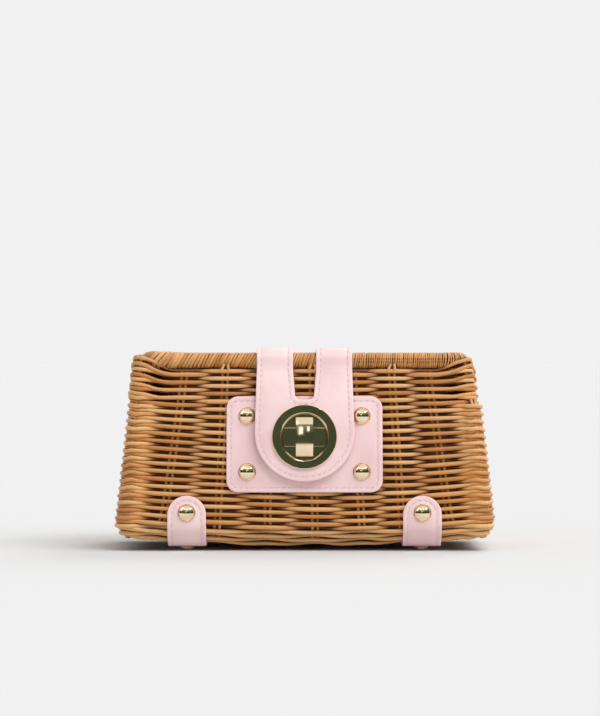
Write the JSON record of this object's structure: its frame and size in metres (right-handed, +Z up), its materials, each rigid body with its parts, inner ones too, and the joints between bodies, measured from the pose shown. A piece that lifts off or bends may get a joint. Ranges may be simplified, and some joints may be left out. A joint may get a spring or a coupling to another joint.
{
  "type": "basket box bag",
  "caption": "Woven cane box bag with a hinged lid, a leather closure strap held by a turn lock, and leather foot straps on metal studs.",
  "frame": {"origin": "on the table, under the middle of the basket, where the foot studs stand", "axes": "+Z up, +X to the right of someone who faces the lock, -Y out of the front wall"},
  "size_m": [0.2348, 0.1101, 0.1261],
  "materials": {
    "cane": "natural honey-coloured round cane, lightly varnished",
    "leather": "pale pink, fine smooth grain",
    "gold_metal": "polished pale gold plate"
  },
  "bodies": {
    "basket": {"basket_walls": "cane", "basket_base": "cane", "front_plate": "leather", "plate_rivets": "gold_metal", "plate_rivet_caps": "gold_metal", "lock_base": "gold_metal", "lock_washer": "gold_metal", "hinge_wall_rivets": "gold_metal", "hinge_wall_caps": "gold_metal", "foot_strap_left": "leather", "foot_strap_right": "leather", "foot_rivets": "gold_metal", "foot_rivet_caps": "gold_metal", "foot_studs": "gold_metal", "foot_stud_caps": "gold_metal"},
    "lid": {"lid_panel": "cane", "lid_border": "cane", "closure_arms": "leather", "arm_rivets": "gold_metal", "arm_rivet_caps": "gold_metal", "hinge_strap_left": "leather", "hinge_strap_right": "leather", "hinge_lid_rivets": "gold_metal"},
    "strap_flap": {"closure_tongue": "leather", "lock_ring": "gold_metal", "lock_ring_back": "gold_metal"},
    "knob": {"lock_knob": "gold_metal"}
  },
  "joints": [
    {"name": "lid_hinge", "type": "hinge", "parent": "basket", "child": "lid", "pos_m": [0, 0.0373, 0.11315], "axis": [-1, 0, 0], "range_deg": [0, 105], "deforming": ["hinge_strap_left", "hinge_strap_right"]},
    {"name": "strap_fold", "type": "hinge", "parent": "lid", "child": "strap_flap", "pos_m": [0, -0.03835, 0.117], "axis": [-1, 0, 0], "range_deg": [0, 90]},
    {"name": "knob_turn", "type": "hinge", "parent": "basket", "child": "knob", "pos_m": [0, -0.04241, 0.0702], "axis": [0, -0.9921, 0.1253], "range_deg": [0, 90]}
  ]
}
